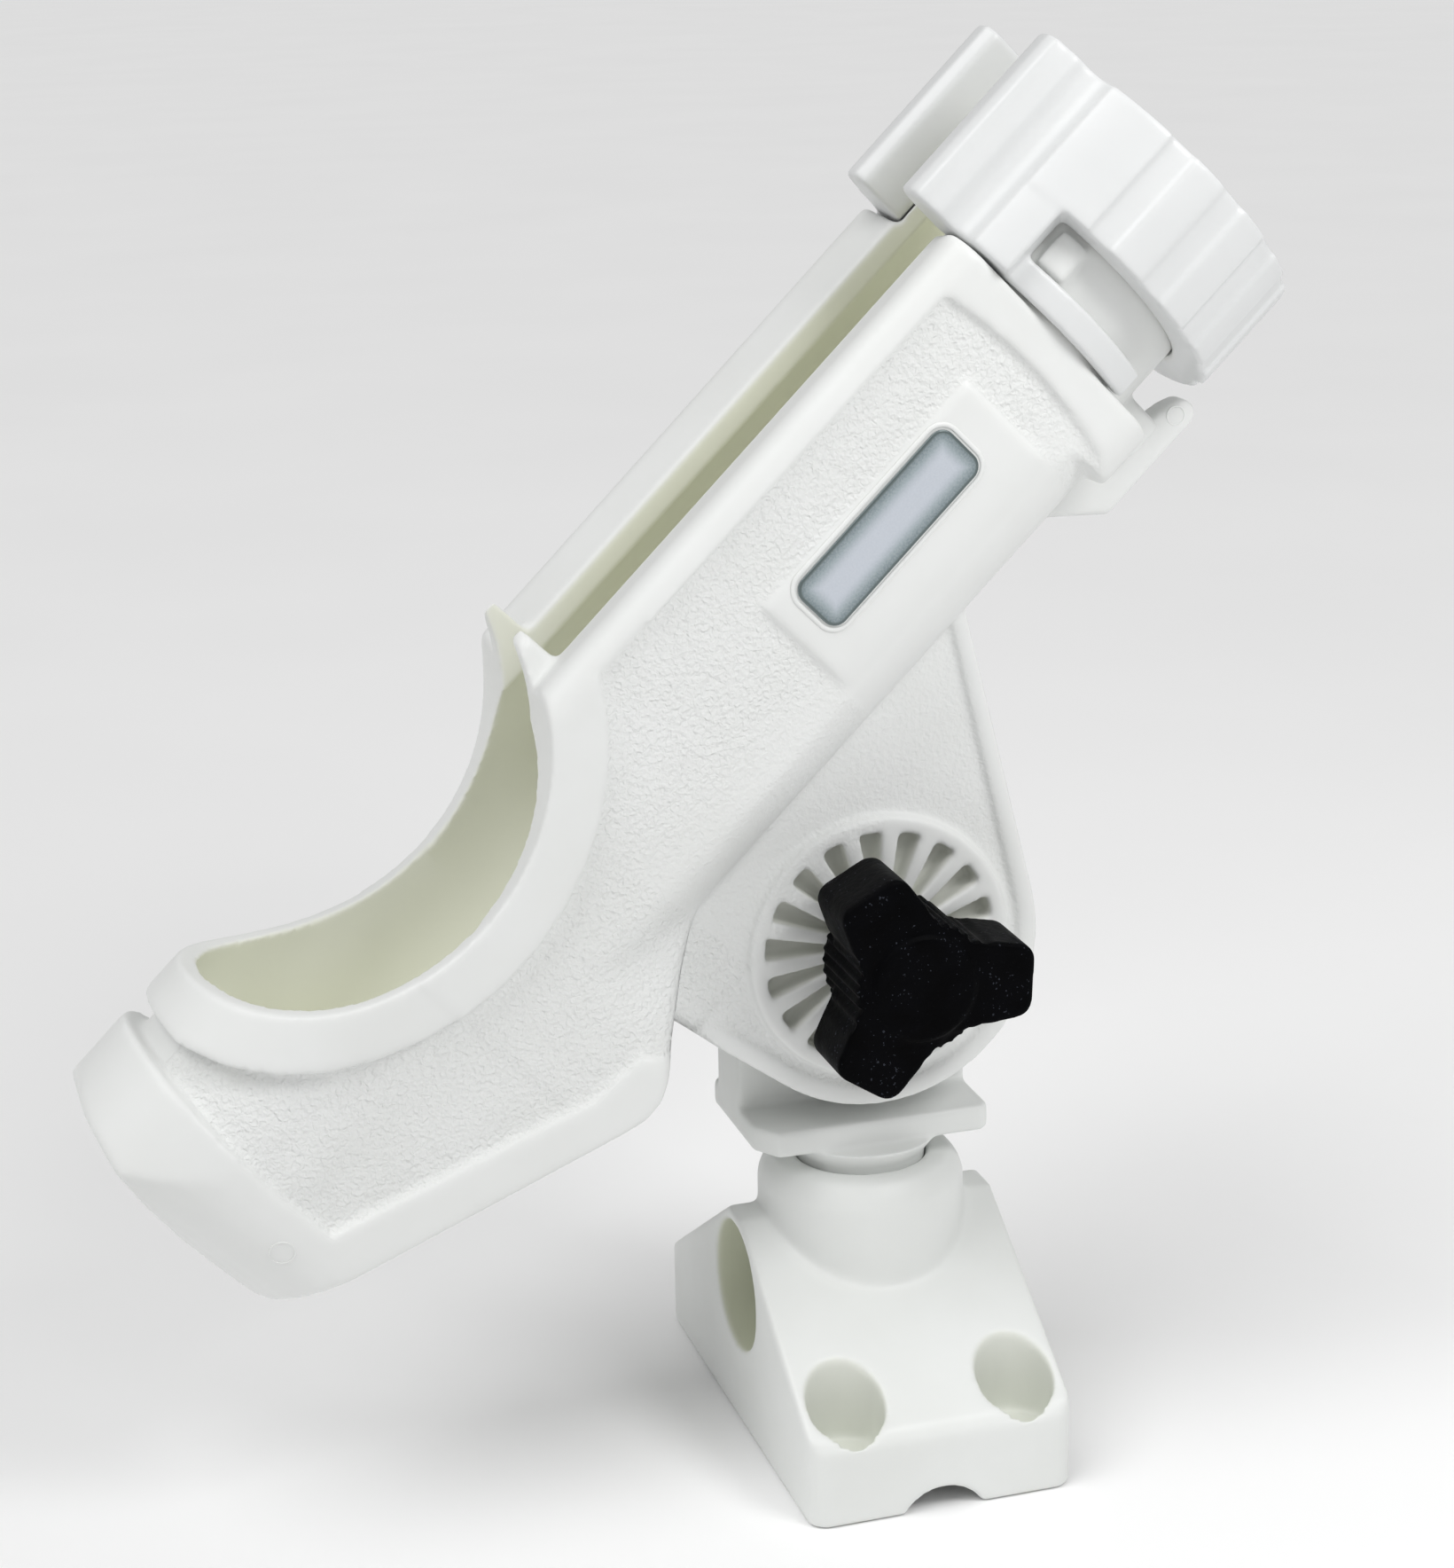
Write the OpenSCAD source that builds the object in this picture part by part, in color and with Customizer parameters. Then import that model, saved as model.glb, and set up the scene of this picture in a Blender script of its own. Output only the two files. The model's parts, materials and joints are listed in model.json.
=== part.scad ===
// Open-cradle fishing rod holder on a swivelling post, with a wedge-shaped side or deck mount.
// Millimetres, +Z up. The origin is the centre of the mount's base, on the deck.
// +X is the way the rod tip points, and the clamp knob is on the -Y side.

/* [Mount block] */
// Width of the mount across X
mount_w = 56; // [50:1:64]
// Length of the mount along Y
mount_l = 100; // [92:1:110]
// Height of the upright end faces
mount_end_h = 18; // [15:1:21]
// Height of the roof ridge, where both slopes would meet
mount_ridge_h = 49; // [46:1:52]
// Diameter of the post sockets, the upright one and the sideways one
socket_d = 27.4; // [26:0.2:28]
// Top of the collar round the upright socket
collar_top = 58; // [56:1:59]
// Diameter of that collar
collar_d = 43; // [40:1:45]
// Screw spacing across X
screw_pitch_x = 36; // [34:1:38]
// Screw spacing along Y
screw_pitch_y = 83; // [80:1:84]
// Diameter of the screw holes
screw_d = 6; // [5:0.5:7]

/* [Post] */
// Diameter of the spigot that stands in the socket
spigot_d = 26.8; // [26:0.2:27]
// Width of the plate and of the clutch head
head_w = 50; // [46:1:52]
// Thickness of the plate
plate_t = 5.5; // [4:0.5:7]
// Height of the tilt axis above the deck
pivot_z = 106.5; // [104:0.5:110]

/* [Cradle] */
// Tilt of the barrel above level
tilt = 44.5; // [30:0.5:50]
// Height of the barrel's axis above the tilt axis, square to the barrel
barrel_rise = 65; // [62:0.5:68]
// Half the width of the barrel, and the depth of its belly below its axis
belly_r = 29; // [28.8:0.1:29.4]
// Radius of the belly's lower corners
belly_corner_r = 20; // [16:1:24]
// Radius of the bore that takes the rod's butt
bore_r = 24.6; // [23.5:0.1:25]
// Width of the slot along the top
slot_w = 22.8; // [20:0.2:24]
// Depth of the grained side panels below their frame
panel_inset = 1.8; // [1:0.2:2.4]
// Radius of the reel opening's curved rim, seen from the side
dip_r = 48; // [46:1:50]
// Width of the smooth band under that rim
lip_band = 11; // [9:1:12]
// Radius of the clutch disc on the ear
disc_r = 27.5; // [26:0.5:28]
// Windows between the disc's ribs
disc_windows = 18; // [12:1:20]

/* [Locking ring] */
// Radius of the ring's grip
grip_r = 37.3; // [36:0.1:38]
// Radius of the ring's thin strip at the back
strip_r = 31.6; // [31:0.1:32]
// Grip flutes on each side of the slot
flutes = 5; // [3:1:5]
// Height of the ears above the barrel's axis
ear_h = 38.6; // [37.5:0.1:40]

/* [Clamp] */
// Diameter of the pivot bolt
bolt_d = 8; // [6:0.5:10]
// Reach of the knob's lobes from its axis
knob_reach = 23; // [21:0.5:26]
// Depth of the knob along its axis
knob_h = 23; // [20:1:26]

/* [Hidden] */
$fn = 72;
eps = 0.05;

white = [0.93, 0.94, 0.92];
ring_white = [0.97, 0.97, 0.97];
mount_white = [0.90, 0.91, 0.88];
black = [0.05, 0.05, 0.05];
badge_blue = [0.66, 0.72, 0.80];
steel = [0.72, 0.73, 0.75];

// Stations along the barrel, measured forwards from the tilt axis
body_front = 108;
ring_back = 108.6;
window_back = 114.5;
window_front = 124;
ring_front = 148;
neck_front = 146;
dip_u = -46.5;
dip_v = 120.5;
stern_u = -131.5;
stern_rise = 74.7;
trough_rear = -96;

// Levels across the barrel, measured up from the tilt axis
side_v = 88;
slot_v = 91.6;
shoulder_r = 6;

// Middle of the badge
badge_u = 60;
badge_v = 66;

// The badge's pad: its ends along the barrel, its level range, and how far it lies below the frame
pad_rear = 33;
pad_front = 90;
pad_top = 73.8;
pad_foot = 45;
pad_step = 0.3;

// Running gaps
ring_gap = 0.3;
neck_r = 28.2;
ring_bore_r = neck_r + ring_gap;

// Levels across the clutch, along Y
disc_face_y = -14;
rim_face_y = -13.6;
ear_face_y = -12;
ear_back_y = 2.9;
head_front_y = 3.3;
head_back_y = 19.5;
plate_front_y = -11;
plate_back_y = 24;
plate_z = 62.5;
washer_y = disc_face_y - 0.3;
washer_t = 1.6;
knob_back_y = washer_y - washer_t - 0.4;

// Points of an arc round c, from angle a to angle b in n steps
function arc(c, r, a, b, n) = [for (i = [0:n]) c + r * [cos(a + (b - a) * i / n), sin(a + (b - a) * i / n)]];

// Places its children in the cradle's frame: X along the barrel, Z square to it, origin on the tilt axis
module in_cradle() {
    translate([0, 0, pivot_z])
        rotate([0, -tilt, 0])
            children();
}

// Extrudes a side view, drawn in X and Z, from y0 to y1
module side(y0, y1) {
    translate([0, y1, 0])
        rotate([90, 0, 0])
            linear_extrude(y1 - y0)
                children();
}

// Extrudes a front view, drawn in Y and Z, from x0 to x1
module front(x0, x1) {
    translate([x0, 0, 0])
        rotate([90, 0, 90])
            linear_extrude(x1 - x0)
                children();
}

// Extrudes a plan view from z0 to z1
module plan(z0, z1) {
    translate([0, 0, z0])
        linear_extrude(z1 - z0)
            children();
}

// A cylinder along Y through the tilt axis
module clutch_cylinder(r, y0, y1) {
    translate([0, y1, pivot_z])
        rotate([90, 0, 0])
            cylinder(r = r, h = y1 - y0);
}

module rounded_rect(w, l, r) {
    square([w - 2 * r, l], center = true);
    square([w, l - 2 * r], center = true);
    for (x = [-1, 1], y = [-1, 1])
        translate([x * (w / 2 - r), y * (l / 2 - r)])
            circle(r);
}

// ---------------------------------------------------------------- mount block

// Roof-shaped side view of the block, drawn in Y and Z
module mount_profile() {
    polygon([
        [-mount_l / 2, 0],
        [-mount_l / 2, mount_end_h - 2],
        [-mount_l / 2 + 1.6, mount_end_h + 0.6],
        [-4, mount_ridge_h - 2],
        [4, mount_ridge_h - 2],
        [mount_l / 2 - 1.6, mount_end_h + 0.6],
        [mount_l / 2, mount_end_h - 2],
        [mount_l / 2, 0]
    ]);
}

// Roof-shaped hollow under the block, which leaves walls of one thickness
module mount_hollow() {
    wall = 4;
    slope = (mount_ridge_h - mount_end_h) / (mount_l / 2);
    intersection() {
        plan(-1, mount_ridge_h)
            square([mount_w - 2 * wall, mount_l - 2 * wall], center = true);
        front(-mount_w, mount_w)
            polygon([
                [-mount_l / 2, -1],
                [-mount_l / 2, mount_end_h - wall],
                [0, mount_end_h - wall + slope * mount_l / 2 - 2],
                [mount_l / 2, mount_end_h - wall],
                [mount_l / 2, -1]
            ]);
    }
}

module mount_base() {
    side_socket_z = 30.5;
    socket_floor = 20;
    well_r = 7.8;
    well_floor = 10;
    arch_r = 9.5;
    color(mount_white)
        difference() {
            union() {
                difference() {
                    intersection() {
                        plan(0, mount_ridge_h)
                            rounded_rect(mount_w, mount_l, 4);
                        front(-mount_w, mount_w)
                            mount_profile();
                    }
                    mount_hollow();
                }
                // Collar with a rounded top edge, and the tube of the upright socket below it
                cylinder(d = collar_d, h = collar_top - 5);
                translate([0, 0, collar_top - 5])
                    cylinder(r1 = collar_d / 2, r2 = collar_d / 2 - 1, h = 2.5);
                translate([0, 0, collar_top - 2.5])
                    cylinder(r1 = collar_d / 2 - 1, r2 = collar_d / 2 - 3, h = 2.5);
                // Tube of the sideways socket
                intersection() {
                    translate([-mount_w / 2, 0, side_socket_z])
                        rotate([0, 90, 0])
                            cylinder(d = socket_d + 7, h = mount_w);
                    front(-mount_w / 2 + 0.5, mount_w / 2 - 0.5)
                        mount_profile();
                }
                // Bosses for the deck screws, and the web between each pair
                for (x = [-1, 1], y = [-1, 1])
                    intersection() {
                        translate([x * screw_pitch_x / 2, y * screw_pitch_y / 2, 0])
                            cylinder(r = well_r + 2.5, h = mount_ridge_h);
                        plan(0, mount_ridge_h)
                            rounded_rect(mount_w, mount_l, 4);
                        front(-mount_w, mount_w)
                            mount_profile();
                    }
                for (y = [-1, 1])
                    translate([-1.5, y > 0 ? 20 : -mount_l / 2 + 10, 0])
                        cube([3, mount_l / 2 - 30, mount_end_h]);
            }
            // Upright socket
            translate([0, 0, socket_floor])
                cylinder(d = socket_d, h = collar_top);
            // Sideways socket, right through
            translate([-mount_w, 0, side_socket_z])
                rotate([0, 90, 0])
                    cylinder(d = socket_d, h = 2 * mount_w);
            // Screw wells and screw holes
            for (x = [-1, 1], y = [-1, 1])
                translate([x * screw_pitch_x / 2, y * screw_pitch_y / 2, 0]) {
                    translate([0, 0, well_floor])
                        cylinder(r = well_r, h = mount_ridge_h);
                    translate([0, 0, -1])
                        cylinder(d = screw_d, h = mount_end_h);
                }
            // Arched drain at the foot of the front face
            translate([0, -mount_l / 2 + 6, 4.6 - arch_r])
                rotate([90, 0, 0])
                    cylinder(r = arch_r, h = 12);
        }
}

// ----------------------------------------------------------------------- post

module post() {
    head_bottom = plate_z + plate_t;
    spigot_bottom = 21.5;
    spline_top = 38;
    splines = 24;
    teeth = 36;
    color(mount_white)
        difference() {
            union() {
                // Spigot, plain above and splined at its foot
                translate([0, 0, spline_top])
                    cylinder(d = spigot_d, h = plate_z - spline_top + eps);
                translate([0, 0, spigot_bottom])
                    cylinder(d = spigot_d - 3, h = spline_top - spigot_bottom + eps);
                for (i = [0:splines - 1])
                    rotate([0, 0, i * 360 / splines])
                        translate([0, -0.8, spigot_bottom])
                            cube([spigot_d / 2 - 0.3, 1.6, spline_top - spigot_bottom + eps]);
                // Shoulder under the plate
                translate([0, 0, collar_top + 0.5])
                    cylinder(r1 = spigot_d / 2, r2 = spigot_d / 2 + 3, h = plate_z - collar_top - 0.5 + eps);
                // Plate with its corners cut off
                plan(plate_z, head_bottom)
                    polygon([
                        [-head_w / 2 + 4, plate_front_y],
                        [head_w / 2 - 2, plate_front_y],
                        [head_w / 2, plate_front_y + 2],
                        [head_w / 2, plate_back_y - 2],
                        [head_w / 2 - 2, plate_back_y],
                        [-head_w / 2 + 2, plate_back_y],
                        [-head_w / 2, plate_back_y - 2],
                        [-head_w / 2, plate_front_y + 6]
                    ]);
                // Clutch head: a half round slab on straight sides
                clutch_cylinder(head_w / 2, head_front_y + 1, head_back_y);
                translate([-head_w / 2, head_front_y + 1, head_bottom - eps])
                    cube([head_w, head_back_y - head_front_y - 1, pivot_z - head_bottom]);
                // Teeth on the face that meets the cradle's ear
                for (i = [0:teeth - 1])
                    translate([0, head_front_y + 1 + eps, pivot_z])
                        rotate([0, i * 360 / teeth, 0])
                            translate([11, -1 - eps, -0.7])
                                cube([head_w / 2 - 12.5, 1 + eps, 1.4]);
                clutch_cylinder(10, head_front_y, head_front_y + 2);
            }
            // Bolt hole, and the square seat of the carriage bolt at the back
            clutch_cylinder(bolt_d / 2 + 0.25, 0, head_back_y + 1);
            translate([-bolt_d / 2 - 0.3, head_back_y - 4.2, pivot_z - bolt_d / 2 - 0.3])
                cube([bolt_d + 0.6, 5, bolt_d + 0.6]);
            // Moulding pockets in the back of the head, either side of a web
            for (x = [-1, 1])
                intersection() {
                    clutch_cylinder(head_w / 2 - 4, head_front_y + 6, head_back_y + 1);
                    translate([x > 0 ? 1.5 : -head_w / 2, 0, pivot_z - head_w])
                        cube([head_w / 2 - 1.5, head_back_y + 2, 2 * head_w]);
                    difference() {
                        clutch_cylinder(head_w, head_front_y + 6, head_back_y + 1);
                        clutch_cylinder(10, head_front_y, head_back_y + 2);
                    }
                }
        }
}

// --------------------------------------------------------------------- cradle

// Cross-section of the barrel, drawn in Y and Z and taken in by e all round
module barrel_section(e) {
    shoulder_y = belly_r - shoulder_r;
    corner = [belly_r - belly_corner_r, barrel_rise - belly_r + belly_corner_r];
    polygon(concat(
        arc([-corner[0], corner[1]], belly_corner_r - e, 180, 270, 14),
        arc(corner, belly_corner_r - e, 270, 360, 14),
        arc([shoulder_y, side_v], shoulder_r - e, 0, 90, 5),
        [[slot_w / 2, slot_v - e], [-slot_w / 2, slot_v - e]],
        arc([-shoulder_y, side_v], shoulder_r - e, 90, 180, 5)
    ));
}

// Side view of the stern: reel rim at the top, heel below, S-curve down to the ear in front
module stern_outline() {
    polygon(concat(
        [[0, 106], [-117, 106]],
        arc([-117.5, 97.2], 6.8, 80, 150, 5),
        [[-125.6, 93.5], [-128.2, 83], [-130.2, 71], [-131.2, 60]],
        arc([-123.9, 56.2], 7.6, 180, 245, 5),
        [[-60, 21.9], [-55, 20.2], [-50, 20.4], [-45, 22.6], [-38, 27], [-29, 32.5], [-20, 37], [0, 41]]
    ));
}

// Cross-section of the stern: straight sides under a round top, drawn in Y and Z
module stern_section(r, rise) {
    polygon(concat(arc([0, rise], r, 0, 180, 28), [[-r, -10], [r, -10]]));
}

// Side view of the grained panel, inside its frame and under the reel dip's smooth band
module panel_outline() {
    polygon(concat(
        arc([-6, 66.5], 106.5, -13, 11.8, 6),
        arc([dip_u, dip_v], dip_r + lip_band, -32.4, -158, 14),
        [[-101, 110], [-106.5, 110], [-106.6, 100], [-107, 93], [-108.4, 80], [-109.6, 66], [-109.7, 53.6]],
        [[-58, 31.2], [-46, 30], [-38, 18], [80, 18]]
    ));
}

// Plan view of the stern, taken in by e, with its big round corners and a front that narrows to the ear
module stern_plan(e) {
    stern_w = belly_r - 0.4 - e;
    corner_r = 20;
    corner_y = belly_r - 0.4 - corner_r;
    polygon(concat(
        [[-46, -stern_w], [0, -14 + e], [0, 14 - e], [-46, stern_w]],
        arc([stern_u + corner_r, corner_y], corner_r - e, 90, 180, 8),
        arc([stern_u + corner_r, -corner_y], corner_r - e, 180, 270, 8)
    ));
}

// Cross-section of the barrel's squarer front frame, drawn in Y and Z
module frame_section() {
    corner_r = 9;
    corner_v = 44.5;
    polygon(concat(
        arc([belly_r - 0.2 - corner_r, corner_v], corner_r, -90, 0, 8),
        [[belly_r - 0.2, side_v - 10], [-belly_r + 0.2, side_v - 10]],
        arc([-belly_r + 0.2 + corner_r, corner_v], corner_r, 180, 270, 8)
    ));
}

// Solid of the wide body: the barrel, its front frame, and the stern with its heel
module wide_body() {
    front(-62, body_front)
        barrel_section(0);
    front(95, body_front)
        frame_section();
    intersection() {
        plan(5, 120)
            stern_plan(0);
        side(-40, 40)
            stern_outline();
        front(-140, 10)
            stern_section(belly_r - 0.4, stern_rise);
    }
}

// The solid that the panels are sunk down to: flat sides on the barrel, which the belly's curve
// comes inside of, and the stern without its skin. The groove over the stern's round top is deeper.
module panel_floor() {
    groove_drop = 2.8;
    floor_y = belly_r - panel_inset;
    translate([-62.3, -floor_y, 10])
        cube([body_front + 82, 2 * floor_y, 110]);
    intersection() {
        plan(-5, 130)
            stern_plan(panel_inset);
        front(-140, 10)
            stern_section(belly_r - 0.4 - panel_inset, stern_rise - groove_drop);
    }
}

// Side view of the ear that carries the clutch disc, taken in by e
module ear_outline(e) {
    ear_r = 34 - e;
    fore = [64 - e, 41];
    aft = [-40 + e, 32];
    fore_turn = atan2(fore[1], fore[0]) - acos(ear_r / norm(fore));
    aft_turn = atan2(aft[1], aft[0]) + acos(ear_r / norm(aft));
    polygon(concat(
        arc([0, 0], ear_r, aft_turn, fore_turn + 360, 24),
        [fore, [fore[0] - 4, 50], [aft[0] + 4, 50], aft]
    ));
}

// Clutch disc: a rim and a hub joined by ribs, in the ear's near face
module disc_windows_cut() {
    window_r = 24.2;
    hub_r = 9;
    rib_root = 1.8;
    rib_tip = 3.8;
    difference() {
        rotate([90, 0, 0])
            translate([0, 0, 8])
                cylinder(r = window_r, h = 12);
        rotate([90, 0, 0])
            translate([0, 0, 7])
                cylinder(r = hub_r, h = 14);
        for (i = [0:disc_windows - 1])
            rotate([0, i * 360 / disc_windows, 0])
                side(-14, -6)
                    polygon([
                        [hub_r - 1, -rib_root / 2],
                        [window_r + 1, -rib_tip / 2],
                        [window_r + 1, rib_tip / 2],
                        [hub_r - 1, rib_root / 2]
                    ]);
    }
}

module cradle_body() {
    lug_start = 62.5;
    lug_end = 75;
    color(white)
        in_cradle()
            difference() {
                union() {
                    // Wide body with its grained panels sunk into both sides
                    difference() {
                        wide_body();
                        difference() {
                            side(-45, 45)
                                panel_outline();
                            panel_floor();
                        }
                    }
                    // Raised pads for the badges
                    intersection() {
                        front(pad_rear, pad_front)
                            barrel_section(pad_step);
                        translate([0, -40, pad_foot])
                            cube([pad_front + 10, 80, pad_top - pad_foot]);
                    }
                    // Ear: near skin, rim and clutch boss
                    side(ear_face_y, ear_face_y + 3.4)
                        ear_outline(0);
                    side(rim_face_y, ear_back_y - 2)
                        difference() {
                            ear_outline(0);
                            ear_outline(4);
                        }
                    rotate([90, 0, 0])
                        translate([0, 0, -ear_back_y])
                            cylinder(r = disc_r, h = ear_back_y - disc_face_y);
                    // Neck inside the locking ring
                    front(body_front - 1, neck_front)
                        translate([0, barrel_rise])
                            circle(neck_r);
                    // Stop lug that sits in the ring's window
                    front(window_back + 0.5, window_front - 1)
                        intersection() {
                            translate([0, barrel_rise])
                                circle(neck_r + 2.2);
                            translate([0, barrel_rise])
                                polygon([
                                    [0, 0],
                                    40 * [-sin(lug_start), cos(lug_start)],
                                    40 * [-sin(lug_end), cos(lug_end)]
                                ]);
                        }
                    // Keel under the front, the stop for the ring's other end
                    side(-3.5, 3.5)
                        polygon(concat(
                            [[84, 33], [95, 21.4]],
                            arc([120, 24.2], 2.8, -90, 60, 6),
                            [[118, 28], [107.5, 30], [107.5, 37], [84, 37]]
                        ));
                    translate([105, -9, 28.5])
                        cube([9, 9, 9]);
                }
                // Bore for the rod's butt, its higher trough under the reel dip, and the slot along the top
                front(trough_rear, neck_front + 1)
                    translate([0, barrel_rise])
                        circle(bore_r);
                intersection() {
                    front(trough_rear, dip_u)
                        stern_section(bore_r, stern_rise);
                    plan(barrel_rise, 120)
                        translate([trough_rear, -bore_r])
                            square([60, 2 * bore_r]);
                }
                translate([-20, -slot_w / 2, barrel_rise + 10])
                    cube([neck_front + 30, slot_w, 60]);
                // Reel dip
                translate([dip_u, 40, dip_v])
                    rotate([90, 0, 0])
                        cylinder(r = dip_r, h = 80);
                // Moulding pockets in the heel, open below
                for (x = [-112, -86.5, -61], y = [-23, 1.5])
                    difference() {
                        translate([x, y, 0])
                            cube([22.5, 21.5, 60]);
                        front(-150, 0)
                            translate([0, barrel_rise])
                                circle(bore_r + 3.5);
                    }
                // Disc windows and the bolt hole
                disc_windows_cut();
                rotate([90, 0, 0])
                    translate([0, 0, -20])
                        cylinder(r = bolt_d / 2 + 0.3, h = 60);
            }
}

// Badge: a plain rounded plate bonded on the side pad at +Y (s = 1) or -Y (s = -1)
module badge(s) {
    badge_l = 42;
    badge_w = 12.2;
    badge_t = 0.6;
    mid_y = s * (belly_r - pad_step + badge_t / 2);
    color(badge_blue)
        in_cradle()
            translate([badge_u, 0, badge_v])
                side(mid_y - badge_t / 2, mid_y + badge_t / 2)
                    rounded_rect(badge_l, badge_w, 3);
}

module near_badge() {
    badge(-1);
}

module far_badge() {
    badge(1);
}

// --------------------------------------------------------------- locking ring

// Pie slice from angle a to angle b, measured from the top towards the knob side
module slice(a, b) {
    n = max(1, round((b - a) / 30));
    polygon(concat(
        [[0, 0]],
        [for (i = [0:n]) let (t = a + (b - a) * i / n) 70 * [-sin(t), cos(t)]]
    ));
}

// End view of the ears, either side of the slot
module ear_blocks(top_w, foot_w) {
    for (s = [-1, 1]) {
        polygon([
            [s * slot_w / 2, 20],
            [s * slot_w / 2, ear_h - 2],
            [s * (slot_w / 2 + 2), ear_h],
            [s * (top_w - 3), ear_h],
            [s * (top_w - 0.6), ear_h - 1.2],
            [s * top_w, ear_h - 3.4],
            [s * foot_w, 24]
        ]);
    }
}

module locking_ring() {
    flute_depth = 1;
    flute_w = 5.8;
    flute_start = 73.5;
    flute_pitch = 22;
    // Valley at the foot of each ear
    valley_angle = 41;
    valley_r = 5;
    valley_depth = 1.5;
    color(ring_white)
        in_cradle()
            translate([0, 0, barrel_rise])
                difference() {
                    union() {
                        // Grip
                        front(window_front, ring_front)
                            circle(grip_r);
                        // Solid part between each ear and the end of the window
                        front(ring_back, window_front + eps)
                            intersection() {
                                circle(grip_r - 0.2);
                                union() {
                                    slice(15, 59.5);
                                    slice(285, 345);
                                }
                            }
                        // Thin strip behind the window, on the knob side only
                        front(ring_back, window_back)
                            intersection() {
                                circle(strip_r);
                                slice(50, 125);
                            }
                        // Ears
                        front(ring_back, ring_front)
                            ear_blocks(20.5, 27);
                    }
                    // Flutes in the grip
                    for (s = [-1, 1], i = [0:flutes - 1])
                        rotate([s * (flute_start + i * flute_pitch), 0, 0])
                            translate([window_front - 1, -flute_w / 2, grip_r - flute_depth])
                                cube([ring_front, flute_w, 5]);
                    // Valleys beside the ears
                    for (s = [-1, 1])
                        rotate([s * valley_angle, 0, 0])
                            translate([ring_back - 1, 0, grip_r - valley_depth + valley_r])
                                rotate([0, 90, 0])
                                    cylinder(r = valley_r, h = ring_front - ring_back + 2);
                    // Bore over the cradle's neck, and the slot
                    front(ring_back - 1, ring_front + 1)
                        circle(ring_bore_r);
                    translate([ring_back - 1, -slot_w / 2, 10])
                        cube([ring_front, slot_w, 60]);
                }
}

// ---------------------------------------------------------------------- clamp

module pivot_bolt() {
    bolt_end_y = knob_back_y - 15;
    color(steel) {
        clutch_cylinder(bolt_d / 2, bolt_end_y, head_back_y + eps);
        // Square neck that stops the bolt turning in the post's head
        translate([-bolt_d / 2, head_back_y - 4, pivot_z - bolt_d / 2])
            cube([bolt_d, 4 + eps, bolt_d]);
        // Domed head
        intersection() {
            translate([0, head_back_y - 7.2, pivot_z])
                sphere(r = 11.4);
            clutch_cylinder(9, head_back_y, head_back_y + 5);
        }
    }
}

module pivot_washer() {
    color(steel)
        difference() {
            clutch_cylinder(10, washer_y - washer_t, washer_y);
            clutch_cylinder(bolt_d / 2 + 0.2, washer_y - washer_t - 1, washer_y + 1);
        }
}

module clamp_knob() {
    lobe_angles = [118, 357, 237];
    hub_r = 13.6;
    root_half_w = 10.5;
    tip_half_w = 7.6;
    corner_r = 3.4;
    front_y = knob_back_y - knob_h;
    corner = [knob_reach - corner_r, tip_half_w - corner_r];
    color(black)
        difference() {
            union() {
                // Hub, with a low boss on its front
                clutch_cylinder(hub_r, front_y + 1.4, knob_back_y);
                clutch_cylinder(hub_r - 3, front_y, knob_back_y - 2);
                // Three lobes with square ends and round corners
                for (a = lobe_angles)
                    translate([0, 0, pivot_z])
                        rotate([0, -a, 0])
                            side(front_y + 0.8, knob_back_y - 6)
                                polygon(concat(
                                    [[1, root_half_w], [1, -root_half_w]],
                                    arc([corner[0], -corner[1]], corner_r, -80, 0, 4),
                                    arc(corner, corner_r, 0, 80, 4)
                                ));
            }
            // Blind hole for the bolt, and the pocket of the moulded-in nut
            clutch_cylinder(bolt_d / 2 + 0.4, knob_back_y - 16, knob_back_y + 1);
            translate([0, knob_back_y - 3, pivot_z])
                rotate([90, 0, 0])
                    cylinder(r = 7.6, h = 6.8, $fn = 6);
        }
}

module knob_nut() {
    color(steel)
        difference() {
            translate([0, knob_back_y - 3, pivot_z])
                rotate([90, 0, 0])
                    cylinder(r = 7.6, h = 6.8, $fn = 6);
            clutch_cylinder(bolt_d / 2 + 0.05, knob_back_y - 12, knob_back_y);
        }
}

mount_base();
post();
cradle_body();
locking_ring();
near_badge();
far_badge();
pivot_bolt();
pivot_washer();
clamp_knob();
knob_nut();
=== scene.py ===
"""Fishing rod holder: finely meshed mouldings and their materials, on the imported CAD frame."""

import json
import math

import bpy
import numpy as np
from mathutils import Matrix, Vector


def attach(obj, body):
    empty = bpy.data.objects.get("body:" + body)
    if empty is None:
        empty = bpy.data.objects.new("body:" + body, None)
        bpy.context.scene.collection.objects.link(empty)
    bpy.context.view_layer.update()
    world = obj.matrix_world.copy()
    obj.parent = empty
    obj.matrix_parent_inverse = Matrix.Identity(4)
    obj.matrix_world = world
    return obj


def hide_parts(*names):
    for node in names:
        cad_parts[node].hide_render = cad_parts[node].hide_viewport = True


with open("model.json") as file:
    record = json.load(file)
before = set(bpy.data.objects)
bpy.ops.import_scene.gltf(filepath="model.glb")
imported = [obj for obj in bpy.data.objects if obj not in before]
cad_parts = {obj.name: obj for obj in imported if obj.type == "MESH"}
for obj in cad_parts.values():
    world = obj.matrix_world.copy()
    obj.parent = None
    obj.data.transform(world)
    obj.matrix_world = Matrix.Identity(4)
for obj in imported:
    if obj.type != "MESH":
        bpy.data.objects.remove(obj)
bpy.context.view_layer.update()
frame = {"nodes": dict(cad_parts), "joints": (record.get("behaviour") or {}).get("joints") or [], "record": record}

MM = 0.001
JOINTS = {j["name"]: j for j in frame["joints"]}
PIVOT = Vector(JOINTS["cradle_tilt"]["pos_m"])
ALONG = -Vector(JOINTS["ring_turn"]["axis"]).normalized()
ACROSS = Vector((-ALONG.z, 0, ALONG.x))

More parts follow.
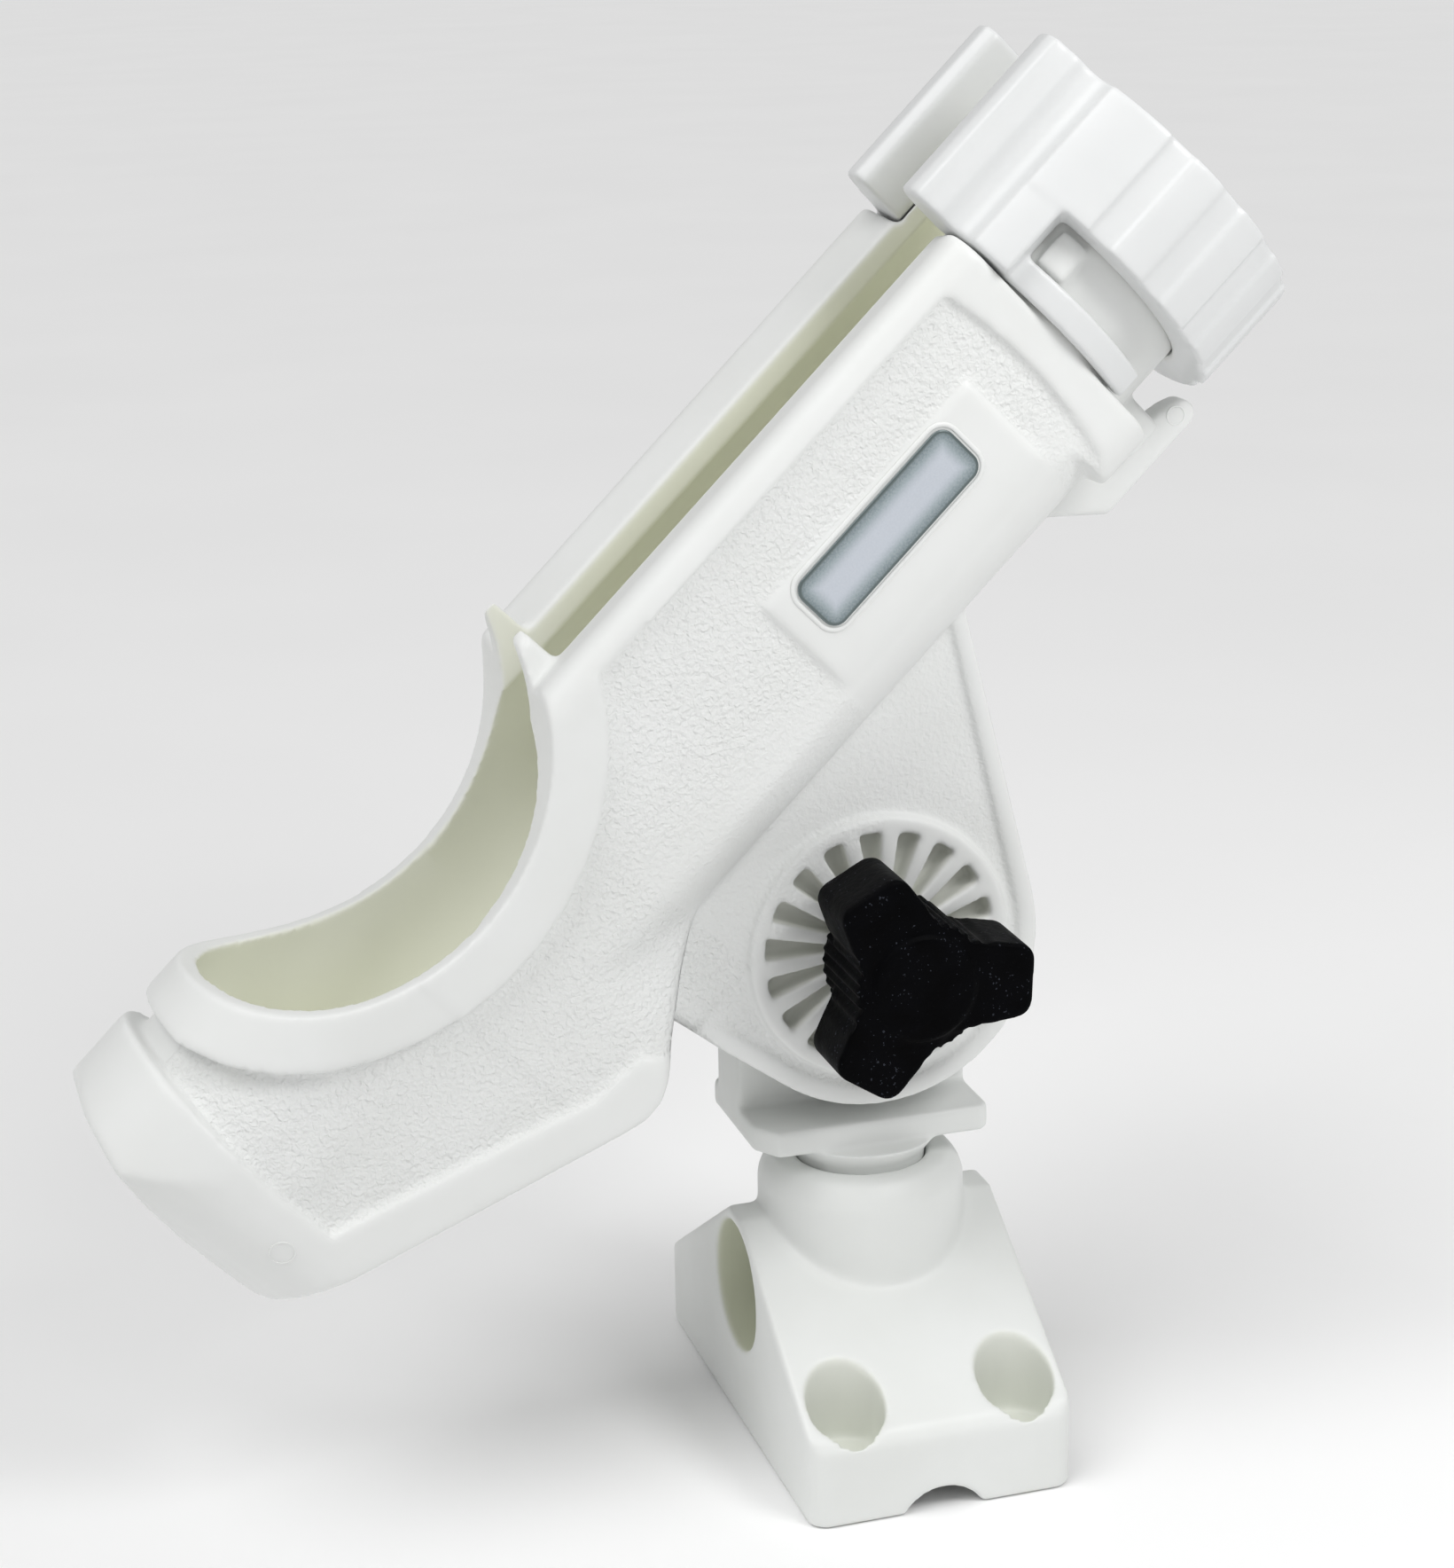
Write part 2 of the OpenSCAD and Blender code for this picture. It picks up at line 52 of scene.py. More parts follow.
# The cradle's own frame: X along the barrel towards the tip, Z square to it, origin on the tilt axis
CRADLE = Matrix((ALONG, Vector((0, 1, 0)), ACROSS)).transposed().to_4x4()
CRADLE.translation = PIVOT
UPRIGHT = Matrix.Identity(4)
CLUTCH = Matrix.Translation(PIVOT)
MIDDLE = Vector((0, 0, 0.12))


# ------------------------------------------------------------------- camera, light and floor


def add_camera():
    """Places the camera at the angle that shows the clutch side and the front of the mount."""
    back = Vector((-0.2755, -0.9161, 0.2913)).normalized()
    up = Vector((0.1036, 0.2729, 0.9564))
    up = (up - back * up.dot(back)).normalized()
    data = bpy.data.cameras.new("camera")
    data.sensor_fit = "VERTICAL"
    data.sensor_height = 36
    data.lens = 71.27
    data.clip_start = 0.01
    camera = bpy.data.objects.new("camera", data)
    bpy.context.scene.collection.objects.link(camera)
    camera.matrix_world = Matrix((up.cross(back), up, back)).transposed().to_4x4()
    camera.matrix_world.translation = Vector((-0.1973, -0.5652, 0.3196))
    bpy.context.scene.camera = camera


def aim(light, place):
    """Puts a light at a place, pointing at the middle of the object."""
    beam = MIDDLE - Vector(place)
    light.location = place
    light.rotation_euler = beam.to_track_quat("-Z", "Y").to_euler()
    bpy.context.scene.collection.objects.link(light)


def add_sun(name, place, strength, spread):
    """A wide soft sun, which lights the floor evenly."""
    data = bpy.data.lights.new(name, "SUN")
    data.energy = strength
    data.angle = math.radians(spread)
    aim(bpy.data.objects.new(name, data), place)


def add_area_light(name, place, size, watts):
    """A square soft light, which falls off with distance."""
    data = bpy.data.lights.new(name, "AREA")
    data.size = size
    data.energy = watts
    aim(bpy.data.objects.new(name, data), place)


def add_stage():
    """A pale floor, a white world and soft studio lights, brightest on the barrel."""
    bpy.ops.mesh.primitive_plane_add(size=60, location=(0, 0, -0.0002))
    floor = bpy.context.object
    floor.name = "floor"
    floor.data.materials.append(simple_material("floor_paper", (0.95, 0.95, 0.95), 0.9))
    world = bpy.data.worlds.new("world")
    world.use_nodes = True
    world.node_tree.nodes["Background"].inputs["Color"].default_value = (1, 1, 1, 1)
    world.node_tree.nodes["Background"].inputs["Strength"].default_value = 0.4
    scene = bpy.context.scene
    scene.world = world
    scene.view_settings.view_transform = "Standard"
    add_sun("key", (0.2, -1.0, 0.85), 0.12, 15)
    add_sun("top", (-0.5, -0.2, 1.0), 1.3, 40)
    add_area_light("upper", (0.2, -0.36, 0.52), 0.2, 1.15)


# --------------------------------------------------------------------------------- materials


def new_material(name):
    """A node material, with its tree and its shader."""
    material = bpy.data.materials.new(name)
    material.use_nodes = True
    tree = material.node_tree
    return material, tree, tree.nodes["Principled BSDF"]


def simple_material(name, colour, roughness):
    """A matt material whose colour drifts a little."""
    material, tree, shader = new_material(name)
    shader.inputs["Roughness"].default_value = roughness
    noise = add_noise(tree, 6, 3)
    ramp = add_ramp(tree, noise, [(0.3, colour), (0.7, [c * 1.02 for c in colour])])
    tree.links.new(ramp, shader.inputs["Base Color"])
    return material


def add_noise(tree, scale, detail, distortion=0.0, stretch=(1, 1, 1)):
    """Noise in the piece's own space; scale is in cells to a metre."""
    place = tree.nodes.new("ShaderNodeTexCoord")
    mapping = tree.nodes.new("ShaderNodeMapping")
    mapping.inputs["Scale"].default_value = stretch
    noise = tree.nodes.new("ShaderNodeTexNoise")
    noise.inputs["Scale"].default_value = scale
    noise.inputs["Detail"].default_value = detail
    noise.inputs["Distortion"].default_value = distortion
    tree.links.new(place.outputs["Object"], mapping.inputs["Vector"])
    tree.links.new(mapping.outputs["Vector"], noise.inputs["Vector"])
    return noise.outputs["Fac"]


def add_ramp(tree, factor, stops):
    """A colour ramp; each stop is a place and a colour."""
    ramp = tree.nodes.new("ShaderNodeValToRGB")
    elements = ramp.color_ramp.elements
    while len(elements) < len(stops):
        elements.new(0.5)
    for element, (place, colour) in zip(elements, stops):
        element.position = place
        element.color = (*colour, 1)
    tree.links.new(factor, ramp.inputs["Fac"])
    return ramp.outputs["Color"]


def add_math(tree, operation, a, b):
    """A Math node on two sockets or numbers."""
    node = tree.nodes.new("ShaderNodeMath")
    node.operation = operation
    for socket, value in zip(node.inputs, (a, b)):
        if isinstance(value, (int, float)):
            socket.default_value = value
        else:
            tree.links.new(value, socket)
    return node.outputs["Value"]


def add_attribute(tree, name):
    node = tree.nodes.new("ShaderNodeAttribute")
    node.attribute_name = name
    return node.outputs["Fac"]


def add_mix(tree, factor, a, b):
    """A colour mix from a to b, which are sockets or colours."""
    node = tree.nodes.new("ShaderNodeMix")
    node.data_type = "RGBA"
    tree.links.new(factor, node.inputs["Factor"])
    for socket, value in ((node.inputs[6], a), (node.inputs[7], b)):
        if isinstance(value, (tuple, list)):
            socket.default_value = (*value, 1)
        else:
            tree.links.new(value, socket)
    return node.outputs[2]


def add_bump(tree, height, distance, strength=1.0, under=None):
    node = tree.nodes.new("ShaderNodeBump")
    node.inputs["Distance"].default_value = distance
    node.inputs["Strength"].default_value = strength
    tree.links.new(height, node.inputs["Height"])
    if under is not None:
        tree.links.new(under, node.inputs["Normal"])
    return node.outputs["Normal"]


def range_of(tree, value, low, high):
    """A noise value, which lies mostly between 0.3 and 0.7, mapped to low..high."""
    node = tree.nodes.new("ShaderNodeMapRange")
    node.inputs["From Min"].default_value = 0.3
    node.inputs["From Max"].default_value = 0.7
    node.inputs["To Min"].default_value = low
    node.inputs["To Max"].default_value = high
    tree.links.new(value, node.inputs["Value"])
    return node.outputs["Result"]


def moulded_plastic(name, colour, shade, painted_hollow_shade, roughness, grained):
    """White moulded plastic; one attribute marks its hollows, where a warm colour is mixed in as painted shade and
    bounce light, and the grain attribute marks its pebbled panels.
    """
    material, tree, shader = new_material(name)
    cloud = add_ramp(tree, add_noise(tree, 35, 4), [(0.35, colour), (0.68, shade)])
    # Painted shade: the hollows get a warm colour that stands in for the shade and bounce light in them.
    tone_with_painted_shade = add_mix(tree, add_attribute(tree, "painted_hollow_shade"), cloud, painted_hollow_shade)
    pebbles = add_noise(tree, 1050, 1.0, 0.4)
    skin = add_bump(tree, add_noise(tree, 260, 3), 0.00012, 0.3)
    if grained:
        grain = add_attribute(tree, "grain")
        relief = add_math(tree, "MULTIPLY", pebbles, grain)
        skin = add_bump(tree, relief, 0.0007, 0.75, skin)
        speckle = range_of(tree, pebbles, roughness, roughness + 0.08)
        rough = add_math(tree, "ADD", speckle, add_math(tree, "MULTIPLY", grain, 0.12))
    else:
        rough = range_of(tree, add_noise(tree, 120, 3), roughness, roughness + 0.1)
    tree.links.new(tone_with_painted_shade, shader.inputs["Base Color"])
    tree.links.new(rough, shader.inputs["Roughness"])
    tree.links.new(skin, shader.inputs["Normal"])
    shader.inputs["IOR"].default_value = 1.5
    return material


def knob_plastic():
    """Black plastic with a fine rough skin and pale specks."""
    material, tree, shader = new_material("knob_plastic")
    wear = add_noise(tree, 160, 4)
    worn = add_math(tree, "MULTIPLY", wear, 0.35)
    specks = add_math(tree, "ADD", add_noise(tree, 1500, 2), worn)
    spots = add_math(tree, "GREATER_THAN", specks, 0.87)
    base = add_ramp(tree, wear, [(0.3, (0.0008, 0.0008, 0.001)), (0.75, (0.002, 0.0022, 0.003))])
    tree.links.new(add_mix(tree, spots, base, (0.03, 0.033, 0.042)), shader.inputs["Base Color"])
    tree.links.new(range_of(tree, wear, 0.42, 0.6), shader.inputs["Roughness"])
    tree.links.new(add_bump(tree, add_noise(tree, 900, 3), 0.00015, 0.5), shader.inputs["Normal"])
    shader.inputs["Specular IOR Level"].default_value = 0.03
    return material


def brushed_steel():
    """Stainless steel with fine lines across the bolt."""
    material, tree, shader = new_material("stainless")
    lines = add_noise(tree, 900, 3, 0.0, (1, 0.06, 1))
    tone = add_ramp(tree, lines, [(0.3, (0.52, 0.53, 0.55)), (0.7, (0.66, 0.67, 0.68))])
    tree.links.new(tone, shader.inputs["Base Color"])
    tree.links.new(range_of(tree, lines, 0.22, 0.38), shader.inputs["Roughness"])
    tree.links.new(add_bump(tree, lines, 0.00003, 0.4), shader.inputs["Normal"])
    shader.inputs["Metallic"].default_value = 1
    return material


def badge_film():
    """Silver-blue film with a painted sheen, lighter in its middle and darker towards its edge, and a thin dark
    line inside the border.
    """
    material, tree, shader = new_material("badge_film")
    # Painted sheen: the film's colour is lightest in its middle and darkest at its edge.
    sheen = add_ramp(tree, add_attribute(tree, "middle"),
                     [(0.0, (0.14, 0.19, 0.20)), (0.5, (0.33, 0.39, 0.42)), (1.0, (0.56, 0.60, 0.66))])
    sparkle = range_of(tree, add_noise(tree, 2600, 2), 0.0, 0.18)
    flakes = add_mix(tree, sparkle, sheen, (0.75, 0.78, 0.82))
    film = add_mix(tree, add_attribute(tree, "line"), flakes, (0.10, 0.13, 0.13))
    tree.links.new(film, shader.inputs["Base Color"])
    tree.links.new(range_of(tree, add_noise(tree, 300, 3), 0.3, 0.42), shader.inputs["Roughness"])
    shader.inputs["Metallic"].default_value = 0.3
    shader.inputs["Coat Weight"].default_value = 0.4
    shader.inputs["Coat Roughness"].default_value = 0.2
    return material


# ------------------------------------------------------------------------------ mesh helpers


class Surface:
    """A fine mesh of a CAD node in a frame of its own, in millimetres."""

    def __init__(self, node, space, voxel):
        """Meshes the node in the given frame, with cells of the given size."""
        self.space = space @ Matrix.Scale(MM, 4)
        work = frame["nodes"][node].data.copy()
        work.transform(self.space.inverted())
        carrier = bpy.data.objects.new("carrier", work)
        bpy.context.scene.collection.objects.link(carrier)
        remesh = carrier.modifiers.new("remesh", "REMESH")
        remesh.mode = "VOXEL"
        remesh.voxel_size = voxel
        bpy.context.view_layer.update()
        posed = carrier.evaluated_get(bpy.context.evaluated_depsgraph_get())
        self.mesh = bpy.data.meshes.new_from_object(posed)
        bpy.data.objects.remove(carrier)
        count = len(self.mesh.vertices)
        self.co = np.zeros(count * 3, np.float32)
        self.mesh.vertices.foreach_get("co", self.co)
        self.co = self.co.reshape(-1, 3).astype(float)
        links = np.zeros(len(self.mesh.edges) * 2, np.int32)
        self.mesh.edges.foreach_get("vertices", links)
        self.a, self.b = links.reshape(-1, 2).T
        self.ends = np.bincount(links, minlength=count).clip(1)
        self.masks = {}

    def average(self, values):
        """The mean of each vertex's neighbours."""
        count = len(values)
        total = [
            np.bincount(self.a, column[self.b], count) + np.bincount(self.b, column[self.a], count)
            for column in values.T
        ]
        return np.stack(total, 1) / self.ends[:, None]

    def smooth(self, rounds, weight=None):
        """Rounds the edges; weight, from 0 to 1 for each vertex, says where."""
        share = 0.5 if weight is None else 0.5 * weight[:, None]
        for _ in range(rounds):
            self.co += share * (self.average(self.co) - self.co)

    def soften(self, mask, rounds):
        """A mask with its border blurred."""
        values = mask.astype(float)[:, None]
        for _ in range(rounds):
            values += 0.5 * (self.average(values) - values)
        return values[:, 0]

    def normals(self):
        """The unit normal at each vertex."""
        self.mesh.vertices.foreach_set("co", self.co.astype(np.float32).ravel())
        self.mesh.update()
        normals = np.zeros(len(self.mesh.vertices) * 3, np.float32)
        self.mesh.vertices.foreach_get("normal", normals)
        return normals.reshape(-1, 3)

    def finish(self, name, material, replaced, body):
        """Puts the mesh back in the row frame as a piece that stands for the CAD node."""
        self.mesh.vertices.foreach_set("co", self.co.astype(np.float32).ravel())
        self.mesh.transform(self.space)
        self.mesh.polygons.foreach_set("use_smooth", np.ones(len(self.mesh.polygons), bool))
        for label, values in self.masks.items():
            attribute = self.mesh.attributes.new(label, "FLOAT", "POINT")
            attribute.data.foreach_set("value", values.astype(np.float32))
        self.mesh.materials.clear()
        self.mesh.materials.append(material)
        self.mesh.update()
        return add_piece(name, self.mesh, body, replaced)


def add_piece(name, mesh, body, replaced=None):
    """A piece that moves with a body, and stands for a CAD node if one is named."""
    piece = bpy.data.objects.new(name, mesh)
    bpy.context.scene.collection.objects.link(piece)
    if replaced:
        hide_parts(replaced)
    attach(piece, body)
    return piece


def step(values, low, high):
    """A smooth step from 0 at low to 1 at high."""
    t = ((values - low) / (high - low)).clip(0, 1)
    return t * t * (3 - 2 * t)


def plateau(values, start, top, fall, end):
    """A smooth hill: 0 up to start, 1 from top to fall, and 0 from end."""
    return step(values, start, top) * (1 - step(values, fall, end))


def arc(centre, radius, start, end, steps):
    """Points along an arc, from one angle to another in degrees."""
    angles = [math.radians(start + (end - start) * i / steps) for i in range(steps + 1)]
    return [(centre[0] + radius * math.cos(a), centre[1] + radius * math.sin(a)) for a in angles]


def inside(x, y, outline):
    """Whether each point lies inside a closed outline."""
    crossings = np.zeros(len(x), bool)
    for (x0, y0), (x1, y1) in zip(outline, outline[1:] + outline[:1]):
        if y0 == y1:
            continue
        between = (y0 > y) != (y1 > y)
        crossings ^= between & (x < x0 + (y - y0) * (x1 - x0) / (y1 - y0))
    return crossings


# -------------------------------------------------------------------------------- the cradle

# Sizes and places in the cradle's own frame: u along the barrel, y across, v upwards, in millimetres
BARREL_RISE = (Vector(JOINTS["ring_turn"]["pos_m"]) - PIVOT).dot(ACROSS) / MM
BORE_R = next(m for m in frame["record"]["mounts"] if m["name"] == "rod_bore")["dims"]["r_mm"]
BORE_TOP = 92
BELLY_R = 29.0
DIP = (-46.5, 120.5)
DIP_R = 48.0
LIP_BAND = 11.0
TROUGH_REAR = -96.0
TROUGH_FLOOR = 36
PANEL = (
    arc((-6, 66.5), 106.5, -13, 11.8, 6)
    + arc(DIP, DIP_R + LIP_BAND, -32.4, -158, 14)
    + [(-101, 110), (-106.5, 110), (-106.6, 100), (-107, 93), (-108.4, 80), (-109.6, 66), (-109.7, 53.6)]
    + [(-58, 31.2), (-46, 30), (-38, 18), (80, 18)]
)
PAD_ENDS = (33, 90)
PAD_TOP = 73.8
# The stern's panels lie deeper, and rise to the rest of the side over these stretches
STERN_DEPTH = 1.1
STERN_FADE_U = (-36, -8)
STERN_FADE_V = (86, 102)
# Where the ear grows out of the belly
EAR_ROOT_U = (-50, -38, -14, 10)
EAR_ROOT_V = (10, 22, 46, 54)
EAR_TOP = 48
EAR_SKIN_Y = (-13.2, -9)
DISC_R = 27.5
DISC_FACE_Y = -14.0
DISC_WINDOWS = (8.6, 24.6)
# Badge: middle along and up, length and height
BADGE = (60, 66, 42, 12.2)
BADGE_CORNER = 3.0
# Rings left by ejector pins: middle along and up, and radius
HEEL_MARK = (-118.0, 58.7, 2.4)
KEEL_MARK = (118.5, 25.3, 1.9)
HEEL_CORNER_U = -111.5
KEEL_HALF_T = 3.5


def cradle_distances(skin):
    """How far each vertex is from the tilt axis, from the barrel's axis, and inside the dip's rim."""
    u, y, v = skin.co.T
    return np.hypot(u, v), np.hypot(v - BARREL_RISE, y), DIP_R - np.hypot(u - DIP[0], v - DIP[1])


def round_cradle(skin):
    """Rounds the edges, least in the disc, the bore and the rim, and most at the root of the ear."""
    u, y, v = skin.co.T
    disc, bore, in_dip = cradle_distances(skin)
    in_disc = (1 - step(disc, DISC_R - 1, DISC_R + 1)) * (1 - step(y, -11, -8))
    in_bore = (1 - step(bore, BORE_R + 0.4, BORE_R + 1.6)) * (v < BORE_TOP)
    rim = 1 - step(np.abs(in_dip), 1.0, 3.0)
    crisp = np.maximum(np.maximum(in_disc, in_bore), rim)
    stern = (1 - step(u, -55, -40)) * (1 - crisp)
    root = plateau(u, *EAR_ROOT_U) * plateau(v, *EAR_ROOT_V) * (1 - in_disc)
    skin.smooth(4)
    skin.smooth(5, 1 - 0.9 * crisp)
    skin.smooth(2, 0.8 * stern)
    skin.smooth(60, root * (1 - crisp))


def grain_cradle(skin, normal):
    """Sinks the stern's panels, and marks the grain on the panels and the ear."""
    u, y, v = skin.co.T
    disc, bore, _ = cradle_distances(skin)
    outward = normal[:, 1] * np.sign(y) > 0.3
    panels = inside(u, v, PANEL) & outward & (np.abs(y) > 12) & (bore > BORE_R + 1.5)
    sunk = skin.soften(panels, 1) * (1 - step(u, *STERN_FADE_U)) * (1 - step(v, *STERN_FADE_V))
    sunk *= step(bore, BORE_R + 1.5, BORE_R + 3)
    skin.co[:, 1] -= np.sign(y) * STERN_DEPTH * sunk
    pad = (u > PAD_ENDS[0] - 0.3) & (u < PAD_ENDS[1] + 0.3) & (v < PAD_TOP + 0.3)
    ear = (normal[:, 1] < -0.6) & (y > EAR_SKIN_Y[0]) & (y < EAR_SKIN_Y[1])
    ear &= (disc > DISC_R + 0.8) & (v < EAR_TOP)
    strength = 0.45 + 0.55 * step(v, EAR_TOP, EAR_TOP + 14) + 0.55 * (u < -20)
    skin.masks["grain"] = skin.soften((panels & ~pad) | ear, 3) * strength.clip(0, 1)


def paint_cradle_hollow_shade(skin, normal):
    """Marks the painted warm shade and bounce light in the trough, most at its bottom, and in the disc's windows.
    """
    u, y, v = skin.co.T
    disc, bore, in_dip = cradle_distances(skin)
    inward = normal[:, 2] * (BARREL_RISE - v) - normal[:, 1] * y
    hollow = (inward > 0.1 * bore) & (np.abs(y) < BORE_R + 1.5) & (bore < 42)
    hollow &= (u > TROUGH_REAR - 2) & (v > TROUGH_FLOOR)
    hollow |= (normal[:, 0] > 0.5) & (bore < BORE_R + 1) & (np.abs(u - TROUGH_REAR) < 3)
    windows = (disc > DISC_WINDOWS[0]) & (disc < DISC_WINDOWS[1]) & (y > DISC_FACE_Y + 0.7) & (y < -4)
    depth = step(in_dip, -30, 2)
    # Painted shade: how strongly the warm hollow colour is mixed in at each vertex.
    skin.masks["painted_hollow_shade"] = skin.soften(hollow * (0.95 - 0.35 * depth) + windows * 0.3, 3)


def build_cradle(plastic):
    """The cradle, from its stern to the neck that the ring turns on."""
    skin = Surface("cradle_body", CRADLE, 0.6)
    round_cradle(skin)
    normal = skin.normals()
    grain_cradle(skin, normal)
    paint_cradle_hollow_shade(skin, normal)
    return skin.finish("cradle", plastic, "cradle_body", "cradle")


def build_ring(plastic):
    """The locking ring, with a little warm painted shade inside its bore."""
    skin = Surface("locking_ring", CRADLE, 0.45)
    skin.smooth(9)
    _, bore, _ = cradle_distances(skin)
    skin.masks["painted_hollow_shade"] = skin.soften((bore < 29.5) * 0.3, 2)
    return skin.finish("ring", plastic, "locking_ring", "ring")


def sweep(name, path, profile, place, material, body):
    """A closed bead: a profile of (outwards, up) carried along a flat path, and set on the cradle by place."""
    count, verts, faces = len(path), [], []
    for i, (x, y) in enumerate(path):
        (x0, y0), (x1, y1) = path[i - 1], path[(i + 1) % count]
        length = math.hypot(x1 - x0, y1 - y0)
        out = ((y1 - y0) / length, -(x1 - x0) / length)
        verts += [place(x + out[0] * a, y + out[1] * a, b) for a, b in profile]
    width = len(profile)
    for i in range(count):
        j = (i + 1) % count
        for k in range(width):
            m = (k + 1) % width
            faces.append((i * width + k, j * width + k, j * width + m, i * width + m))
    mesh = bpy.data.meshes.new(name)
    mesh.from_pydata([CRADLE @ (Vector(v) * MM) for v in verts], [], faces)
    mesh.polygons.foreach_set("use_smooth", np.ones(len(faces), bool))
    for label in ("painted_hollow_shade", "grain"):
        mesh.attributes.new(label, "FLOAT", "POINT")
    mesh.materials.append(material)
    mesh.update()
    return add_piece(name, mesh, body)


def half_round(width, height):
    """The profile of a low rounded ridge, closed a little below the surface that it stands on."""
    steps, sink = 8, 0.2
    turns = [math.pi * i / steps for i in range(steps + 1)]
    dome = [(width / 2 * math.cos(turn), height * math.sin(turn)) for turn in turns]
    return dome + [(-width / 2, -sink), (width / 2, -sink)]


def heel_y(u):
    """The near side of the heel, which turns its round corner at its rear."""
    corner_r = 20.0
    past_corner = min(u - HEEL_CORNER_U, 0)
    return -(BELLY_R - 0.4 - corner_r + math.sqrt(corner_r ** 2 - past_corner ** 2))


def keel_y(_):
    """The near side of the keel, which is flat."""
    return -KEEL_HALF_T


def build_badge_rims(plastic):
    """A raised rim round each badge."""
    gap = 0.9
    corner = BADGE_CORNER + gap
    half_u, half_v = BADGE[2] / 2 + gap, BADGE[3] / 2 + gap
    loop = []
    for su, sv, start in ((1, 1, 0), (-1, 1, 90), (-1, -1, 180), (1, -1, 270)):
        centre = (BADGE[0] + su * (half_u - corner), BADGE[1] + sv * (half_v - corner))
        loop += arc(centre, corner, start, start + 90, 8)
    base = BELLY_R - 0.3
    for side, sign in (("near", -1), ("far", 1)):
        def place(u, v, h, sign=sign):
            return u, sign * (base + h), v

        name = "badge_rim_" + side
        sweep(name, loop, half_round(1.0, 0.35), place, plastic, "cradle")


def build_pin_marks(plastic):
    """The faint rings that ejector pins leave on the heel and the keel."""
    steps = 40
    for name, mark, surface in (("heel_mark", HEEL_MARK, heel_y), ("keel_mark", KEEL_MARK, keel_y)):
        def place(u, v, h, surface=surface):
            return u, surface(u) - h, v

        circle = arc(mark[:2], mark[2], 0, 360 - 360 / steps, steps - 1)
        sweep(name, circle, half_round(0.35, 0.12), place, plastic, "cradle")


# ----------------------------------------------------------------------- mount, post, clutch


# Sizes and places in the mount's own frame, in millimetres
MOUNT_HALF_W = 28
SIDE_BORE_Z = 30.5
SIDE_BORE_R = 14
WELL_X = 18
WELL_Y = 41.5
WELL_R = 8
# Directions of the knob's lobes, in degrees, and the ribs on the flanks between them
KNOB_LOBES = (118, 357, 237)
RIB_PITCH = 10.5
RIB_SPAN = (28, 32)
RIB_DEPTH = 0.75


def build_mount(plastic):
    """The mount, with warm painted shade in its side bore and a little in its screw wells."""
    skin = Surface("mount_base", UPRIGHT, 0.6)
    skin.smooth(9)
    x, y, z = skin.co.T
    side_bore = (np.hypot(y, z - SIDE_BORE_Z) < SIDE_BORE_R + 0.2) & (np.abs(x) < MOUNT_HALF_W - 0.6)
    wells = np.hypot(np.abs(x) - WELL_X, np.abs(y) - WELL_Y) < WELL_R + 0.2
    skin.masks["painted_hollow_shade"] = skin.soften(side_bore * 1.0 + wells * 0.35, 3).clip(0, 1)
    return skin.finish("mount", plastic, "mount_base", "mount")


def build_post(plastic):
    """The post, with its splined spigot and clutch head."""
    skin = Surface("post", UPRIGHT, 0.5)
    skin.smooth(7)
    skin.masks["painted_hollow_shade"] = np.zeros(len(skin.co))
    return skin.finish("post_moulding", plastic, "post", "post")


